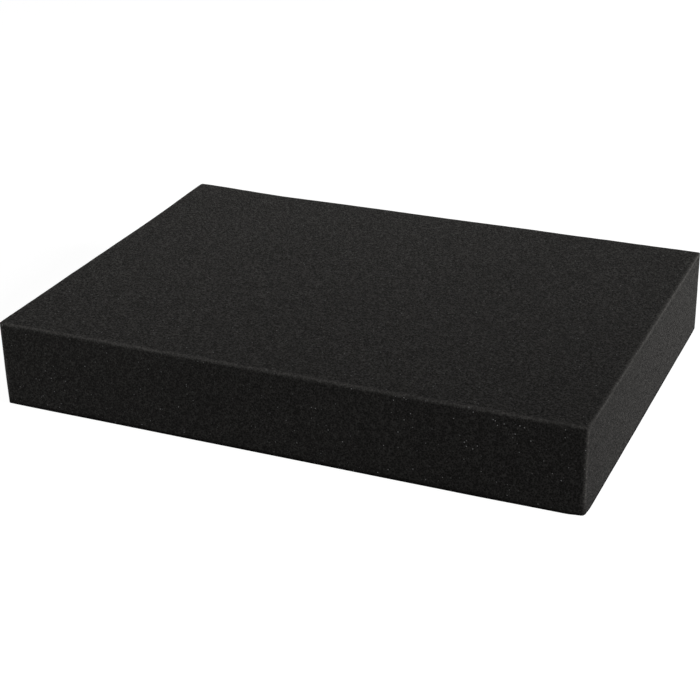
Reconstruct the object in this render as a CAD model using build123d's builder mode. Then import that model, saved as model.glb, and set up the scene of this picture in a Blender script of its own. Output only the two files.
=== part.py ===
from build123d import *
import os

# A rectangular block of soft open-cell foam, cut from a larger slab and used as a base,
# a cushion or a packing insert. It is one solid piece. The block lies flat, with its
# length along X, its width along Y and its underside on the ground at Z = 0.

# Driving dimensions, in millimetres
length = 500.0
width = 350.0
thickness = 75.0
corner_radius = 2.5  # upright edges at the four corners, as the saw leaves soft foam
edge_radius = 1.5  # rims of the top and the underside, where the foam gives a little

os.makedirs("parts", exist_ok=True)

with BuildPart() as foam_block:
    with BuildSketch(Plane.XY) as outline:
        RectangleRounded(length, width, corner_radius)
    extrude(amount=thickness)
    levels = foam_block.edges().group_by(Axis.Z)
    fillet(levels[0] + levels[-1], radius=edge_radius)

foam_block.part.label = "foam_block"
export_step(foam_block.part, "parts/foam_block.step")
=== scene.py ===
import math

import bpy
from bpy.props import FloatProperty, FloatVectorProperty, IntProperty, PointerProperty
from mathutils import Matrix, Vector


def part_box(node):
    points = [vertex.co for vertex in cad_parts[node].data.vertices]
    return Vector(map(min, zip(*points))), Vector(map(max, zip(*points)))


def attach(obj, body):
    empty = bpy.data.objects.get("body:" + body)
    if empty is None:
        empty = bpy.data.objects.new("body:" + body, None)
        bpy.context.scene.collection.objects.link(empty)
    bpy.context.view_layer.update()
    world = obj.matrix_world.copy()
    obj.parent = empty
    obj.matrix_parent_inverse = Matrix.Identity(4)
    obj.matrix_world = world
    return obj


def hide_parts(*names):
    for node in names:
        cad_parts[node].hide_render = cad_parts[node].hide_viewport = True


bl_info = {
    "name": "Cut foam block",
    "version": (1, 0, 0),
    "blender": (4, 5, 0),
    "location": "View3D > Sidebar > Foam",
    "description": "Makes a saw-cut block of open-cell foam and a plain studio round it",
    "category": "Add Mesh",
}

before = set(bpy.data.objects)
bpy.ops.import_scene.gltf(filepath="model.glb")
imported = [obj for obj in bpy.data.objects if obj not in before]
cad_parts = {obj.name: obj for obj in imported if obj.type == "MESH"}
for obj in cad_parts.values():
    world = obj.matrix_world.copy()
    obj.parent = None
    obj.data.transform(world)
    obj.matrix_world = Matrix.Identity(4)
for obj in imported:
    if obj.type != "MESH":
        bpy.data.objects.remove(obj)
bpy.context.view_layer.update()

NODE = "foam_block"
BODY = "root"
PIECE = "cut_foam"
RIM = "rim"  # mesh attribute: 1 on an edge, 0 away from the edges
MM = 0.001
FLOOR_GAP = 0.2 * MM
LOW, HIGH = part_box(NODE)

# Corners of the block, one sign for each axis
BACK_LEFT_TOP = (-1, 1, 1)
NEAR_RIGHT_BOTTOM = (1, -1, -1)

# The foam's look, as shares of a cell's width, of the foam's colour or of 1, or as real lengths
STRUT_SHARES = (0.25, 0.65)  # where a strut begins and where it is full
# The pores are dark partly from the foam's own colour and partly from painted shade inside the open
# cells
PORE_LIGHT = 0.05
STRUT_LIGHT = 1.25
MOTTLE_LENGTH = 3 * MM
BROAD_LENGTH = 95 * MM
PAINTED_LIGHT_GRADIENT = (-0.6, 1.0, 0)  # painted light: growth of lightness for each metre along the axes, lighter towards the back left
END_FACING = (0.5, 0.9)  # how squarely a face looks along X before it counts as a cut end
# How strongly the grain, with its painted pore shade, shows on the long faces, the top and the cut
# ends
LONG_FACE_GRAIN = 0.58
TOP_GRAIN = 0.19
END_GRAIN = 0.32
# Painted light along the edges: lighter rims, most on the long faces, fading in above the foot
PAINTED_RIM_LIGHT = 0.9
LONG_FACE_RIM_LIGHT = 1.2
# Painted shade along the foot, where the block meets the floor; the painted rim light fades in above
# it
FOOT_SHADE_HEIGHTS = (1.2 * MM, 4.5 * MM)
RIM_LIGHT_HEIGHTS = (4 * MM, 14 * MM)
FOOT_SHADE_DEPTH = 0.8
# Painted highlights: glints painted into the foam's colour where cell skins would reflect the lamps
GLINT_DRAWS = (0.88, 0.93)  # a cell whose draw passes these shows a painted glint
GLINT_RADII = (0.16, 0.28)
FAINT_GLINT = 0.16
TOP_GLINTS = 0.7
CELL_DEPTH = 0.12 * MM

# Each lamp's azimuth from the front towards the right and its elevation, both in degrees, then its
# distance from the block and its width, both in metres
LAMPS = {
    "key_lamp": (93, 15.8, 2.5, 1.6),
    "fill_lamp": (-20, 12, 2.0, 1.2),
}


# Node trees written as Python


def pick(sockets, key):
    """The socket with this name or number, leaving out those that the node's settings switch off."""
    if isinstance(key, int):
        return sockets[key]
    return next(s for s in sockets if s.name == key and s.enabled)


class Wire:
    """A node's output, which can stand in a sum: each operator adds the node that works it out."""

    def __init__(self, net, socket):
        self.net = net
        self.socket = socket

    def out(self, name):
        """Another output of the same node."""
        return Wire(self.net, pick(self.socket.node.outputs, name))

    def math(self, operation, *others):
        """The named operation on this wire and the others."""
        return self.net.math(operation, self, *others)

    def __add__(self, other):
        return self.math("ADD", other)

    def __radd__(self, other):
        return self.net.math("ADD", other, self)

    def __sub__(self, other):
        return self.math("SUBTRACT", other)

    def __rsub__(self, other):
        return self.net.math("SUBTRACT", other, self)

    def __mul__(self, other):
        return self.math("MULTIPLY", other)

    def __rmul__(self, other):
        return self.net.math("MULTIPLY", other, self)

    def __truediv__(self, other):
        return self.math("DIVIDE", other)

    def __rtruediv__(self, other):
        return self.net.math("DIVIDE", other, self)


class Net:
    """A node tree while it is being made."""

    def __init__(self, tree):
        self.tree = tree
        tree.nodes.clear()

    def node(self, kind, settings=None, inputs=None):
        """Adds a node. Its settings come first, then its inputs, each a plain value or a wire."""
        made = self.tree.nodes.new(kind)
        for name, value in (settings or {}).items():
            setattr(made, name, value)
        for key, value in (inputs or {}).items():
            self.feed(pick(made.inputs, key), value)
        shown = [s for s in made.outputs if s.enabled]
        return Wire(self, shown[0]) if shown else None

    def feed(self, socket, value):
        """Links a wire to an input, or sets the input to a plain value."""
        if isinstance(value, Wire):
            self.tree.links.new(value.socket, socket)
        elif socket.type == "VECTOR" and isinstance(value, (int, float)):
            socket.default_value = (value, value, value)
        elif socket.type == "RGBA":
            socket.default_value = (*value[:3], 1)
        else:
            socket.default_value = value

    def math(self, operation, *values):
        """A Math node, or a Vector Math node where one of the values is a vector or a colour."""
        wide = any(
            v.socket.type in {"VECTOR", "RGBA"} if isinstance(v, Wire) else isinstance(v, tuple)
            for v in values
        )
        kind = "ShaderNodeVectorMath" if wide else "ShaderNodeMath"
        return self.node(kind, {"operation": operation}, dict(enumerate(values)))

    def ramp(self, value, start, end, low=0.0, high=1.0):
        """A smooth step: low where the value is at start, high where it is at end."""
        return self.node(
            "ShaderNodeMapRange",
            {"interpolation_type": "SMOOTHSTEP"},
            {"Value": value, "From Min": start, "From Max": end, "To Min": low, "To Max": high},
        )

    def noise(self, place, length, detail=0.0):
        """Smooth noise round 0, within -1 and 1, with features of about this length."""
        grain = self.node(
            "ShaderNodeTexNoise", None, {"Vector": place, "Scale": 1 / length, "Detail": detail}
        )
        return grain * 2 - 1

    def cells(self, place, width):
        """Random foam cells of this mean width: distance from the middle, then colour and place."""
        return self.node(
            "ShaderNodeTexVoronoi", {"feature": "F1"}, {"Vector": place, "Scale": 1 / width}
        )


# Sizes and colours that a user may change


class FoamShape(bpy.types.PropertyGroup):
    """The block's size, and the ways in which cut foam differs from a perfect box."""

    size: FloatVectorProperty(
        name="Size",
        description="Length, width and thickness of the block",
        default=tuple(HIGH - LOW),
        subtype="XYZ_LENGTH",
        unit="LENGTH",
    )
    rim_radius: FloatProperty(
        name="Rim radius",
        description="Rounding of the long edges round the top and the underside",
        default=1.0 * MM,
        subtype="DISTANCE",
    )
    corner_radius: FloatProperty(
        name="Corner radius",
        description="Rounding of the upright edges and of the rims where they meet",
        default=1.3 * MM,
        subtype="DISTANCE",
    )
    corner_reach: FloatProperty(
        name="Corner reach",
        description="How far along a rim the corner's rounding fades",
        default=14 * MM,
        subtype="DISTANCE",
    )
    worn_radius: FloatProperty(
        name="Worn corner",
        description="Extra rounding of the most handled bottom corner",
        default=2.2 * MM,
        subtype="DISTANCE",
    )
    worn_reach: FloatProperty(
        name="Worn reach",
        description="How far from the most handled corner its extra rounding reaches",
        default=16 * MM,
        subtype="DISTANCE",
    )
    # Reach of the painted light along the edges
    painted_light_reach: FloatProperty(
        name="Wear reach",
        description="How far from an edge the foam is lighter with wear",
        default=3.6 * MM,
        subtype="DISTANCE",
    )
    top_lift: FloatProperty(
        name="Top lift",
        description="How far the back left corner of the top stands up",
        default=1.9 * MM,
        subtype="DISTANCE",
    )
    bottom_lift: FloatProperty(
        name="Bottom lift",
        description="How far the near right corner of the underside stands off the ground",
        default=0.5 * MM,
        subtype="DISTANCE",
    )
    lift_reach: FloatProperty(
        name="Lift reach",
        description="How far from a lifted corner the foam follows it",
        default=95 * MM,
        subtype="DISTANCE",
    )
    wave_height: FloatProperty(
        name="Wave height",
        description="Depth of the long waves that the saw leaves in the faces",
        default=0.4 * MM,
        subtype="DISTANCE",
    )
    wave_length: FloatProperty(
        name="Wave length",
        description="Length of the long waves in the faces",
        default=75 * MM,
        subtype="DISTANCE",
    )
    crumb_height: FloatProperty(
        name="Crumb height",
        description="Depth of the small unevenness of the cut",
        default=0.08 * MM,
        subtype="DISTANCE",
    )
    crumb_length: FloatProperty(
        name="Crumb length",
        description="Length of the small unevenness of the cut",
        default=8 * MM,
        subtype="DISTANCE",
    )
    spacing: FloatProperty(
        name="Spacing",
        description="Distance between the mesh's rows on the flat faces",
        default=2.36 * MM,
        subtype="DISTANCE",
    )
    rim_band: FloatProperty(
        name="Rim band",
        description="Width of the closely spaced rows beside each edge",
        default=5 * MM,
        subtype="DISTANCE",
    )
    rim_rows: IntProperty(
        name="Rim rows",
        description="Number of closely spaced rows beside each edge",
        default=6,
        min=2,
    )


class FoamFinish(bpy.types.PropertyGroup):
    """The colour of the foam and the size of its cells."""

    colour: FloatVectorProperty(
        name="Foam colour",
        description="Mean colour of the cut foam",
        default=(0.0256, 0.0247, 0.0235),
        min=0.0,
        max=1.0,
        subtype="COLOR",
    )
    # Colour of the painted glints, which stand in for light reflected by cell skins
    painted_glint_colour: FloatVectorProperty(
        name="Glint colour",
        description="Colour of a cell's unbroken skin where it catches the light",
        default=(0.3, 0.3, 0.305),
        min=0.0,
        max=1.0,
        subtype="COLOR",
    )
    cell_size: FloatProperty(
        name="Cell size",
        description="Mean width of a foam cell",
        default=1.5 * MM,
        subtype="DISTANCE",
    )
    glint_spacing: FloatProperty(
        name="Glint spacing",
        description="Mean distance between places where a glint may be",
        default=1.7 * MM,
        subtype="DISTANCE",
    )
    roughness: FloatProperty(
        name="Roughness",
        description="Roughness of the bare foam",
        default=0.95,
        min=0.0,
        max=1.0,
        subtype="FACTOR",
    )


class StudioStage(bpy.types.PropertyGroup):
    """The floor, the lamps and the camera."""

    floor_size: FloatProperty(
        name="Floor size",
        description="Width of the square floor",
        default=30.0,
        subtype="DISTANCE",
    )
    floor_colour: FloatVectorProperty(
        name="Floor colour",
        description="Colour of the plain floor",
        default=(0.8, 0.8, 0.8),
        min=0.0,
        max=1.0,
        subtype="COLOR",
    )
    floor_white: FloatProperty(
        name="Floor white",
        description="Share of the floor's paleness that no shadow can darken",
        default=0.75,
        min=0.0,
        max=1.0,
        subtype="FACTOR",
    )
    floor_glow: FloatProperty(
        name="Floor glow",
        description="Brightness of that share, which leaves a lit floor just white",
        default=1.28,
        min=0.0,
    )
    key_power: FloatProperty(
        name="Key lamp",
        description="Power of the soft lamp on the right, in watts",
        default=106.0,
        min=0.0,
    )
    fill_power: FloatProperty(
        name="Fill lamp",
        description="Power of the soft lamp in front of the block, in watts",
        default=15.2,
        min=0.0,
    )
    sky_strength: FloatProperty(
        name="Sky",
        description="Strength of the even light from all round",
        default=0.03,
        min=0.0,
    )
    lens: FloatProperty(
        name="Lens",
        description="Focal length of the camera on a 36 mm sensor, in millimetres",
        default=84.02,
        min=1.0,
    )
    distance: FloatProperty(
        name="Camera distance",
        description="Distance from the camera to the point that it looks at",
        default=1.4092,
        subtype="DISTANCE",
    )
    azimuth: FloatProperty(
        name="Camera azimuth",
        description="Turn of the camera round the block, from the front towards the right",
        default=math.radians(24.291),
        subtype="ANGLE",
    )
    elevation: FloatProperty(
        name="Camera elevation",
        description="Height of the camera above the level, as an angle",
        default=math.radians(25.695),
        subtype="ANGLE",
    )
    roll: FloatProperty(
        name="Camera roll",
        description="Turn of the camera about its own line of sight",
        default=math.radians(-1.393),
        subtype="ANGLE",
    )
    aim: FloatVectorProperty(
        name="Camera aim",
        description="The point that the camera looks at, from the middle of the underside",
        default=(-7.36 * MM, -12.96 * MM, 18.88 * MM),
        subtype="XYZ_LENGTH",
        unit="LENGTH",
    )


# The block


def block_inputs(shape, material):
    """The tree's inputs: each one's name, kind of socket and value."""
    return {
        "Size": ("NodeSocketVector", shape.size),
        "Rim Radius": ("NodeSocketFloat", shape.rim_radius),
        "Corner Radius": ("NodeSocketFloat", shape.corner_radius),
        "Corner Reach": ("NodeSocketFloat", shape.corner_reach),
        "Worn Radius": ("NodeSocketFloat", shape.worn_radius),
        "Worn Reach": ("NodeSocketFloat", shape.worn_reach),
        "Wear Reach": ("NodeSocketFloat", shape.painted_light_reach),
        "Top Lift": ("NodeSocketFloat", shape.top_lift),
        "Bottom Lift": ("NodeSocketFloat", shape.bottom_lift),
        "Lift Reach": ("NodeSocketFloat", shape.lift_reach),
        "Wave Height": ("NodeSocketFloat", shape.wave_height),
        "Wave Length": ("NodeSocketFloat", shape.wave_length),
        "Crumb Height": ("NodeSocketFloat", shape.crumb_height),
        "Crumb Length": ("NodeSocketFloat", shape.crumb_length),
        "Spacing": ("NodeSocketFloat", shape.spacing),
        "Rim Band": ("NodeSocketFloat", shape.rim_band),
        "Rim Rows": ("NodeSocketInt", shape.rim_rows),
        "Material": ("NodeSocketMaterial", material),
    }


def row_box(net, given):
    """A closed box of quads from -1 to 1 each way, and how many rows it has along each side."""
    inner = given("Size") - given("Rim Band") * 2
    rows = (inner / given("Spacing")).math("CEIL") + given("Rim Rows") * 2
    points = net.node("ShaderNodeSeparateXYZ", None, {"Vector": rows + 1.5})
    box = net.node(
        "GeometryNodeMeshCube",
        None,
        {
            "Size": 2,
            "Vertices X": points,
            "Vertices Y": points.out("Y"),
            "Vertices Z": points.out("Z"),
        },
    )
    return box, rows


def spread_rows(net, given, half, rows):
    """Moves the box's points to the block's real size, with the rows drawn together at its edges."""
    place = net.node("GeometryNodeInputPosition")
    share = place.math("ABSOLUTE")
    band_start = 1 - given("Rim Rows") * 2 / rows
    inner = (share / band_start).math("MINIMUM", 1) * (half - given("Rim Band"))
    left = 1 - ((share - band_start) / (1 - band_start)).math("MAXIMUM", 0)
    return place.math("SIGN") * (inner + given("Rim Band") * (1 - left * left))


def rounded(net, given, half, place):
    """Rounds the box's edges, more at its corners. Gives each point's new place and outward way."""
    inset = net.node("ShaderNodeSeparateXYZ", None, {"Vector": half - place.math("ABSOLUTE")})
    beside = net.node("ShaderNodeCombineXYZ", None, {"X": inset, "Y": inset.out("Y")})
    radius = net.ramp(
        beside.math("LENGTH"),
        0,
        given("Corner Reach"),
        given("Corner Radius"),
        given("Rim Radius"),
    )
    from_worn = place.math("DISTANCE", half * NEAR_RIGHT_BOTTOM)
    radius = radius + net.ramp(from_worn, 0, given("Worn Reach"), given("Worn Radius"), 0)
    core = half - radius
    inside = place.math("MINIMUM", core).math("MAXIMUM", core * -1)
    outward = (place - inside).math("NORMALIZE")
    return inside + outward * radius, outward


def unevenness(net, given, skin, outward):
    """How far the cut face stands out at each point. The underside stays flat."""
    waves = net.noise(skin, given("Wave Length"), 1.0) * given("Wave Height")
    crumbs = net.noise(skin, given("Crumb Length")) * given("Crumb Height")
    upright = net.node("ShaderNodeSeparateXYZ", None, {"Vector": outward}).out("Z")
    off_ground = (upright + 1).math("MINIMUM", 1)
    return (waves + crumbs) * off_ground


def edge_nearness(net, given, half, place):
    """1 on an edge of the block, fading to 0 over the reach of the painted edge light along its
    edges.
    """
    inset = half - place.math("ABSOLUTE")
    near = net.node("ShaderNodeSeparateXYZ", None, {"Vector": inset})
    least = near.math("MINIMUM", near.out("Y")).math("MINIMUM", near.out("Z"))
    most = near.math("MAXIMUM", near.out("Y")).math("MAXIMUM", near.out("Z"))
    to_edge = near + near.out("Y") + near.out("Z") - least - most
    return net.ramp(to_edge, 0, given("Wear Reach"), 1, 0)


def block_tree(inputs):
    """The tree that makes the block: a box of rows, rounded at its edges and a little uneven."""
    tree = bpy.data.node_groups.new("cut_foam_block", "GeometryNodeTree")
    for name, (kind, _) in inputs.items():
        tree.interface.new_socket(name, in_out="INPUT", socket_type=kind)
    tree.interface.new_socket("Geometry", in_out="OUTPUT", socket_type="NodeSocketGeometry")
    net = Net(tree)
    given = net.node("NodeGroupInput").out
    half = given("Size") / 2

    box, rows = row_box(net, given)
    place = spread_rows(net, given, half, rows)
    skin, outward = rounded(net, given, half, place)
    # Where the material paints light along the edges
    painted_edge_shading = edge_nearness(net, given, half, place)
    skin = skin + outward * unevenness(net, given, skin, outward)
    for corner, lift in ((BACK_LEFT_TOP, "Top Lift"), (NEAR_RIGHT_BOTTOM, "Bottom Lift")):
        away = skin.math("DISTANCE", half * corner)
        skin = skin + net.ramp(away, 0, given("Lift Reach"), given(lift), 0) * (0, 0, 1)
    standing = skin + half * (0, 0, 1)

    marked = net.node(
        "GeometryNodeStoreNamedAttribute",
        {"data_type": "FLOAT", "domain": "POINT"},
        {"Geometry": box, "Name": RIM, "Value": painted_edge_shading},
    )
    shaped = net.node("GeometryNodeSetPosition", None, {"Geometry": marked, "Position": standing})
    smooth = net.node("GeometryNodeSetShadeSmooth", None, {"Geometry": shaped})
    real = net.node("GeometryNodeRealizeInstances", None, {"Geometry": smooth})
    finished = net.node(
        "GeometryNodeSetMaterial", None, {"Geometry": real, "Material": given("Material")}
    )
    net.node("NodeGroupOutput", None, {"Geometry": finished})
    return tree


def plain_mesh(name, tree, inputs):
    """The object that a tree makes with these inputs, as a plain mesh with no modifier left."""
    piece = bpy.data.objects.new(name, bpy.data.meshes.new(name))
    bpy.context.scene.collection.objects.link(piece)
    modifier = piece.modifiers.new(name, "NODES")
    modifier.node_group = tree
    identifiers = {item.name: item.identifier for item in tree.interface.items_tree}
    for input_name, (_, value) in inputs.items():
        modifier[identifiers[input_name]] = value
    evaluated = piece.evaluated_get(bpy.context.evaluated_depsgraph_get())
    mesh = bpy.data.meshes.new_from_object(evaluated)
    if not mesh.polygons:
        raise RuntimeError(f"the tree {tree.name} made no faces")
    piece.modifiers.remove(modifier)
    piece.data = mesh
    mesh.name = name
    return piece


# Finishes


def foam_cells(net, place, finish):
    """The foam's open cells: their struts, from 0 in a pore to 1, and each cell's random number."""
    cells = net.cells(place, finish.cell_size)
    chance = net.node("ShaderNodeSeparateColor", None, {"Color": cells.out("Color")})
    return net.ramp(cells, *STRUT_SHARES), chance


def edge_light_and_foot_shade(net, place, rim, facing, end_cut, mottle):
    """Painted light along the edges and painted shade at the foot: how much lighter and how much
    darker the foam's colour is made there.
    """
    height = net.node("ShaderNodeSeparateXYZ", None, {"Vector": place}).out("Z")
    # Painted shade along the foot, where the floor shades the block
    foot_shade = net.ramp(height, *FOOT_SHADE_HEIGHTS, 1, 0)
    off_foot = net.ramp(height, *RIM_LIGHT_HEIGHTS)
    rim_light = rim * (PAINTED_RIM_LIGHT + facing.out("Y") * LONG_FACE_RIM_LIGHT + end_cut * 0.1 + mottle * 0.3)
    return rim_light * off_foot - foot_shade * FOOT_SHADE_DEPTH


def painted_glints(net, place, finish, facing):
    """Painted glints: light spots painted into the colour where a few cell skins would catch the
    light, many on the long faces and none on the ends, as the lamps fall on them.
    """
    spots = net.cells(place, finish.glint_spacing)
    draw = net.node("ShaderNodeSeparateColor", None, {"Color": spots.out("Color")})
    bright = draw.out("Green")
    lit = net.ramp(draw, *GLINT_DRAWS) * net.ramp(spots, *GLINT_RADII, 1, 0)
    strength = FAINT_GLINT + bright * bright * bright * (1 - FAINT_GLINT)
    return lit * strength * (facing.out("Y") + facing.out("Z") * TOP_GLINTS)


def foam_material(finish):
    """Cut open-cell foam: dark pores between lighter struts, the pores partly the foam's colour and
    partly painted shade, with painted light along the edges, painted shade at the foot, a painted
    light gradient and a few painted glints.
    """
    material = bpy.data.materials.new("open_cell_foam")
    material.use_nodes = True
    net = Net(material.node_tree)
    place = net.node("ShaderNodeTexCoord").out("Object")
    rim = net.node("ShaderNodeAttribute", {"attribute_name": RIM}).out("Fac")
    facing = net.node("ShaderNodeTexCoord").out("Normal").math("ABSOLUTE")
    facing = net.node("ShaderNodeSeparateXYZ", None, {"Vector": facing})
    end_cut = net.ramp(facing, *END_FACING)

    struts, chance = foam_cells(net, place, finish)
    mottle = net.noise(place, MOTTLE_LENGTH, 1.0)
    # Painted shade in the pores, darker than the struts
    grain = (PORE_LIGHT + struts * STRUT_LIGHT) * (0.3 + chance * 1.4) + mottle * 0.45 - 1
    contrast = LONG_FACE_GRAIN + facing.out("Z") * TOP_GRAIN + end_cut * END_GRAIN
    grain = grain * contrast * (1 - rim * 0.5)
    # Painted light along the edges, less the painted shade along the foot
    painted_edge_shading = edge_light_and_foot_shade(net, place, rim, facing, end_cut, mottle)
    broad = net.noise(place, BROAD_LENGTH, 1.0)
    # Painted light: the colour grows lighter towards the back left
    painted_gradient = place.math("DOT_PRODUCT", PAINTED_LIGHT_GRADIENT)
    light = (1 + grain).math("MAXIMUM", 0.05) * (1 + broad * 0.08 + painted_gradient) * (1 + painted_edge_shading)

    # Painted highlights: the glints lighten the colour itself
    lit = painted_glints(net, place, finish, facing)
    colour = net.node(
        "ShaderNodeMix",
        {"data_type": "RGBA"},
        {"Factor": lit, "A": light * tuple(finish.colour), "B": finish.painted_glint_colour},
    )
    bump = net.node(
        "ShaderNodeBump",
        None,
        {"Strength": 0.8, "Distance": CELL_DEPTH, "Height": struts + mottle * 0.6},
    )
    foam = net.node(
        "ShaderNodeBsdfPrincipled",
        None,
        {
            "Base Color": colour,
            "Roughness": finish.roughness - lit * 0.35,
            "Diffuse Roughness": 1.0,
            "Specular IOR Level": 0.04,
            "Sheen Weight": 0.01,
            "Sheen Roughness": 0.4,
            "Normal": bump,
        },
    )
    net.node("ShaderNodeOutputMaterial", None, {"Surface": foam})
    return material


def seen_rays(net):
    """1 for light that goes to the camera, by gloss or through glass too, and 0 for the rest."""
    path = net.node("ShaderNodeLightPath")
    seen = path.math("MAXIMUM", path.out("Is Glossy Ray"))
    return seen.math("MAXIMUM", path.out("Is Transmission Ray"))


def floor_material(stage):
    """A plain pale floor that is white where it is lit and keeps a soft shadow of the block."""
    material = bpy.data.materials.new("pale_floor")
    material.use_nodes = True
    net = Net(material.node_tree)
    matt = net.node("ShaderNodeBsdfDiffuse", None, {"Color": stage.floor_colour})
    glow = net.node("ShaderNodeEmission", None, {"Color": (1, 1, 1), "Strength": stage.floor_glow})
    share = seen_rays(net) * stage.floor_white
    both = net.node("ShaderNodeMixShader", None, {"Fac": share, 1: matt, 2: glow})
    net.node("ShaderNodeOutputMaterial", None, {"Surface": both})
    return material


# The stage


def add_floor(stage):
    """A square floor just under the block."""
    reach = stage.floor_size / 2
    level = LOW.z - FLOOR_GAP
    corners = [(x * reach, y * reach, level) for x, y in ((-1, -1), (1, -1), (1, 1), (-1, 1))]
    mesh = bpy.data.meshes.new("floor")
    mesh.from_pydata(corners, [], [(0, 1, 2, 3)])
    mesh.materials.append(floor_material(stage))
    floor = bpy.data.objects.new("floor", mesh)
    bpy.context.scene.collection.objects.link(floor)


def way(azimuth, elevation):
    """The direction at this azimuth, from the front towards the right, and elevation."""
    level = math.cos(elevation)
    return Vector((math.sin(azimuth) * level, -math.cos(azimuth) * level, math.sin(elevation)))


def add_lamp(name, power):
    """A soft square lamp that looks at the block."""
    azimuth, elevation, distance, width = LAMPS[name]
    lamp = bpy.data.lights.new(name, "AREA")
    lamp.energy = power
    lamp.size = width
    towards = way(math.radians(azimuth), math.radians(elevation))
    turned = towards.to_track_quat("Z", "Y").to_matrix().to_4x4()
    holder = bpy.data.objects.new(name, lamp)
    holder.matrix_world = Matrix.Translation((LOW + HIGH) / 2 + towards * distance) @ turned
    bpy.context.scene.collection.objects.link(holder)


def set_world(stage):
    """Even light from all round, behind a plain white background."""
    world = bpy.data.worlds.new("studio")
    world.use_nodes = True
    net = Net(world.node_tree)
    strength = stage.sky_strength + seen_rays(net) * (1 - stage.sky_strength)
    sky = net.node("ShaderNodeBackground", None, {"Color": (1, 1, 1), "Strength": strength})
    net.node("ShaderNodeOutputWorld", None, {"Surface": sky})
    bpy.context.scene.world = world


def add_camera(stage):
    """The camera, looking down at the block from the front and a little from the right."""
    back = way(stage.azimuth, stage.elevation)
    right = Vector((math.cos(stage.azimuth), math.sin(stage.azimuth), 0))
    right = Matrix.Rotation(stage.roll, 3, back) @ right
    place = Vector((0, 0, LOW.z)) + Vector(stage.aim) + back * stage.distance
    lens = bpy.data.cameras.new("camera")
    lens.lens = stage.lens
    camera = bpy.data.objects.new("camera", lens)
    turned = Matrix((right, back.cross(right), back)).transposed()
    camera.matrix_world = Matrix.Translation(place) @ turned.to_4x4()
    bpy.context.scene.collection.objects.link(camera)
    bpy.context.scene.camera = camera


# Operators and panel


class FOAM_OT_make_block(bpy.types.Operator):
    """Makes the cut foam block in the place of the plain solid"""

    bl_idname = "foam.make_block"
    bl_label = "Make foam block"
    bl_options = {"REGISTER", "UNDO"}

    def execute(self, context):
        material = foam_material(context.scene.foam_finish)
        inputs = block_inputs(context.scene.foam_shape, material)
        block = plain_mesh(PIECE, block_tree(inputs), inputs)
        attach(block, BODY)
        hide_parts(NODE)
        return {"FINISHED"}


class FOAM_OT_set_stage(bpy.types.Operator):
    """Sets up the floor, the lamps, the background and the camera"""

    bl_idname = "foam.set_stage"
    bl_label = "Set the stage"
    bl_options = {"REGISTER", "UNDO"}

    def execute(self, context):
        stage = context.scene.studio_stage
        add_floor(stage)
        add_lamp("key_lamp", stage.key_power)
        add_lamp("fill_lamp", stage.fill_power)
        set_world(stage)
        add_camera(stage)
        context.scene.view_settings.view_transform = "Standard"
        return {"FINISHED"}


class FOAM_PT_sidebar(bpy.types.Panel):
    """Lists the steps that make the block and its stage"""

    bl_idname = "FOAM_PT_sidebar"
    bl_label = "Cut foam block"
    bl_space_type = "VIEW_3D"
    bl_region_type = "UI"
    bl_category = "Foam"

    def draw(self, context):
        for step in (FOAM_OT_make_block, FOAM_OT_set_stage):
            self.layout.operator(step.bl_idname)


CLASSES = (
    FoamShape,
    FoamFinish,
    StudioStage,
    FOAM_OT_make_block,
    FOAM_OT_set_stage,
    FOAM_PT_sidebar,
)
SETTINGS = {"foam_shape": FoamShape, "foam_finish": FoamFinish, "studio_stage": StudioStage}


def register():
    """Registers the classes and hangs their settings on the scene."""
    for made in CLASSES:
        bpy.utils.register_class(made)
    for name, group in SETTINGS.items():
        setattr(bpy.types.Scene, name, PointerProperty(type=group))


def unregister():
    """Takes away what register added."""
    for name in SETTINGS:
        delattr(bpy.types.Scene, name)
    for made in reversed(CLASSES):
        bpy.utils.unregister_class(made)


def main():
    """Makes the block and its stage."""
    register()
    bpy.ops.foam.make_block()
    bpy.ops.foam.set_stage()


if __name__ == "__main__":
    main()
